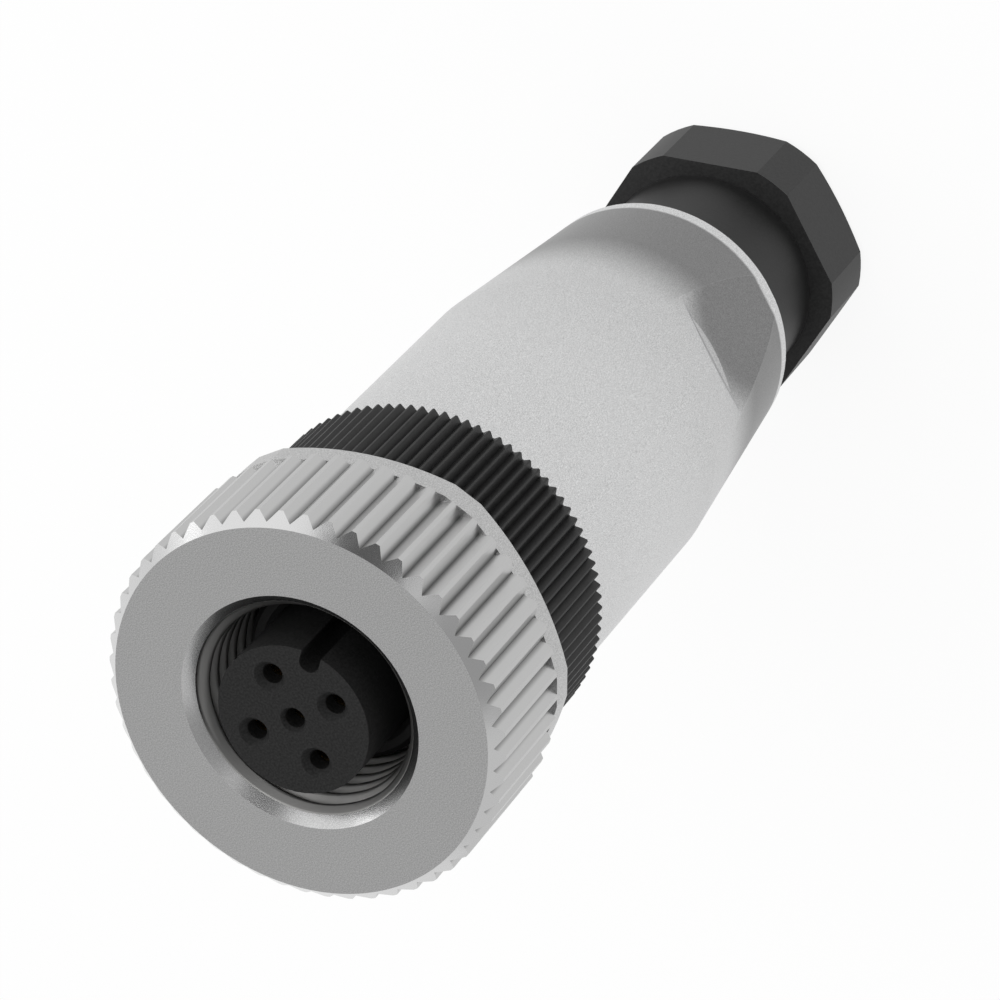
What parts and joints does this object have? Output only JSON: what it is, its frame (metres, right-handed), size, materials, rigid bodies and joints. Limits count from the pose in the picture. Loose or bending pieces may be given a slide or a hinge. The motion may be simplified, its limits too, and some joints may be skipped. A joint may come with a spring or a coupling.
{
  "type": "m12 circular connector",
  "caption": "Straight female M12 cable connector with a knurled coupling nut, a keyed contact insert, a metal sleeve and a screwed cable gland.",
  "frame": {"origin": "centre of the gland nut's end face, on which the connector stands", "axes": "+Z along the axis towards the mating face; +X through pole 2 and a spanner flat; the keyway is at 45 degrees between +X and +Y"},
  "size_m": [0.0218, 0.0218, 0.061],
  "materials": {
    "nickel": "satin nickel plating",
    "housing_plastic": "fine texture",
    "insert_plastic": "smooth",
    "contact_brass": "gold flash",
    "steel": "zinc plated",
    "seal_rubber": "matt",
    "cage_plastic": "smooth",
    "gland_plastic": "fine texture"
  },
  "bodies": {
    "housing": {"grip_ring": "housing_plastic", "contact_insert": "insert_plastic", "terminal_carrier": "insert_plastic", "face_seal": "seal_rubber", "socket_contact_1": "contact_brass", "socket_contact_2": "contact_brass", "socket_contact_3": "contact_brass", "socket_contact_4": "contact_brass", "socket_contact_5": "contact_brass"},
    "nut_ring": {"retaining_ring": "steel"},
    "nut": {"coupling_nut": "nickel"},
    "gasket": {"sleeve_gasket": "seal_rubber"},
    "sleeve": {"body_sleeve": "nickel", "cable_grommet": "seal_rubber"},
    "thrust": {"thrust_ring": "steel", "clamp_cage": "cage_plastic"},
    "gland": {"gland_nut": "gland_plastic"},
    "guard_1": {"wire_guard_1": "steel"},
    "screw_1": {"clamp_screw_1": "steel"},
    "guard_2": {"wire_guard_2": "steel"},
    "screw_2": {"clamp_screw_2": "steel"},
    "guard_3": {"wire_guard_3": "steel"},
    "screw_3": {"clamp_screw_3": "steel"},
    "guard_4": {"wire_guard_4": "steel"},
    "screw_4": {"clamp_screw_4": "steel"},
    "guard_5": {"wire_guard_5": "steel"},
    "screw_5": {"clamp_screw_5": "steel"}
  },
  "joints": [
    {"name": "nut_travel", "type": "slide", "parent": "housing", "child": "nut_ring", "axis": [0, 0, 1], "range_m": [0, 0.0004]},
    {"name": "nut_spin", "type": "hinge", "parent": "nut_ring", "child": "nut", "pos_m": [0, 0, 0.056], "axis": [0, 0, 1], "continuous": true},
    {"name": "sleeve_travel", "type": "slide", "parent": "housing", "child": "gasket", "axis": [0, 0, -1], "range_m": [0, 0.005]},
    {"name": "sleeve_turn", "type": "hinge", "parent": "gasket", "child": "sleeve", "pos_m": [0, 0, 0.03], "axis": [0, 0, -1], "range_deg": [0, 1860]},
    {"name": "gland_travel", "type": "slide", "parent": "sleeve", "child": "thrust", "axis": [0, 0, -1], "range_m": [0, 0.00317]},
    {"name": "gland_turn", "type": "hinge", "parent": "thrust", "child": "gland", "pos_m": [0, 0, 0.01], "axis": [0, 0, -1], "range_deg": [0, 930]},
    {"name": "guard_1_travel", "type": "slide", "parent": "housing", "child": "guard_1", "axis": [0.454, -0.891, 0], "range_m": [0, 0.0005]},
    {"name": "screw_1_turn", "type": "hinge", "parent": "guard_1", "child": "screw_1", "pos_m": [-0.00272, 0.00535, 0.034], "axis": [0.454, -0.891, 0], "range_deg": [0, 460]},
    {"name": "guard_2_travel", "type": "slide", "parent": "housing", "child": "guard_2", "axis": [-0.891, 0.454, 0], "range_m": [0, 0.0005]},
    {"name": "screw_2_turn", "type": "hinge", "parent": "guard_2", "child": "screw_2", "pos_m": [0.00535, -0.00272, 0.034], "axis": [-0.891, 0.454, 0], "range_deg": [0, 460]},
    {"name": "guard_3_travel", "type": "slide", "parent": "housing", "child": "guard_3", "axis": [0.1564, 0.9877, 0], "range_m": [0, 0.0005]},
    {"name": "screw_3_turn", "type": "hinge", "parent": "guard_3", "child": "screw_3", "pos_m": [-0.00094, -0.00593, 0.034], "axis": [0.1564, 0.9877, 0], "range_deg": [0, 460]},
    {"name": "guard_4_travel", "type": "slide", "parent": "housing", "child": "guard_4", "axis": [0.9877, 0.1564, 0], "range_m": [0, 0.0005]},
    {"name": "screw_4_turn", "type": "hinge", "parent": "guard_4", "child": "screw_4", "pos_m": [-0.00593, -0.00094, 0.034], "axis": [0.9877, 0.1564, 0], "range_deg": [0, 460]},
    {"name": "guard_5_travel", "type": "slide", "parent": "housing", "child": "guard_5", "axis": [-0.7071, -0.7071, 0], "range_m": [0, 0.0005]},
    {"name": "screw_5_turn", "type": "hinge", "parent": "guard_5", "child": "screw_5", "pos_m": [0.00424, 0.00424, 0.034], "axis": [-0.7071, -0.7071, 0], "range_deg": [0, 460]}
  ],
  "couplings": [
    {"joint": "sleeve_turn", "follows": "sleeve_travel", "rad_per_m": 6283.2},
    {"joint": "gland_turn", "follows": "gland_travel", "rad_per_m": 4947.4},
    {"joint": "screw_1_turn", "follows": "guard_1_travel", "rad_per_m": 15708},
    {"joint": "screw_2_turn", "follows": "guard_2_travel", "rad_per_m": 15708},
    {"joint": "screw_3_turn", "follows": "guard_3_travel", "rad_per_m": 15708},
    {"joint": "screw_4_turn", "follows": "guard_4_travel", "rad_per_m": 15708},
    {"joint": "screw_5_turn", "follows": "guard_5_travel", "rad_per_m": 15708}
  ]
}
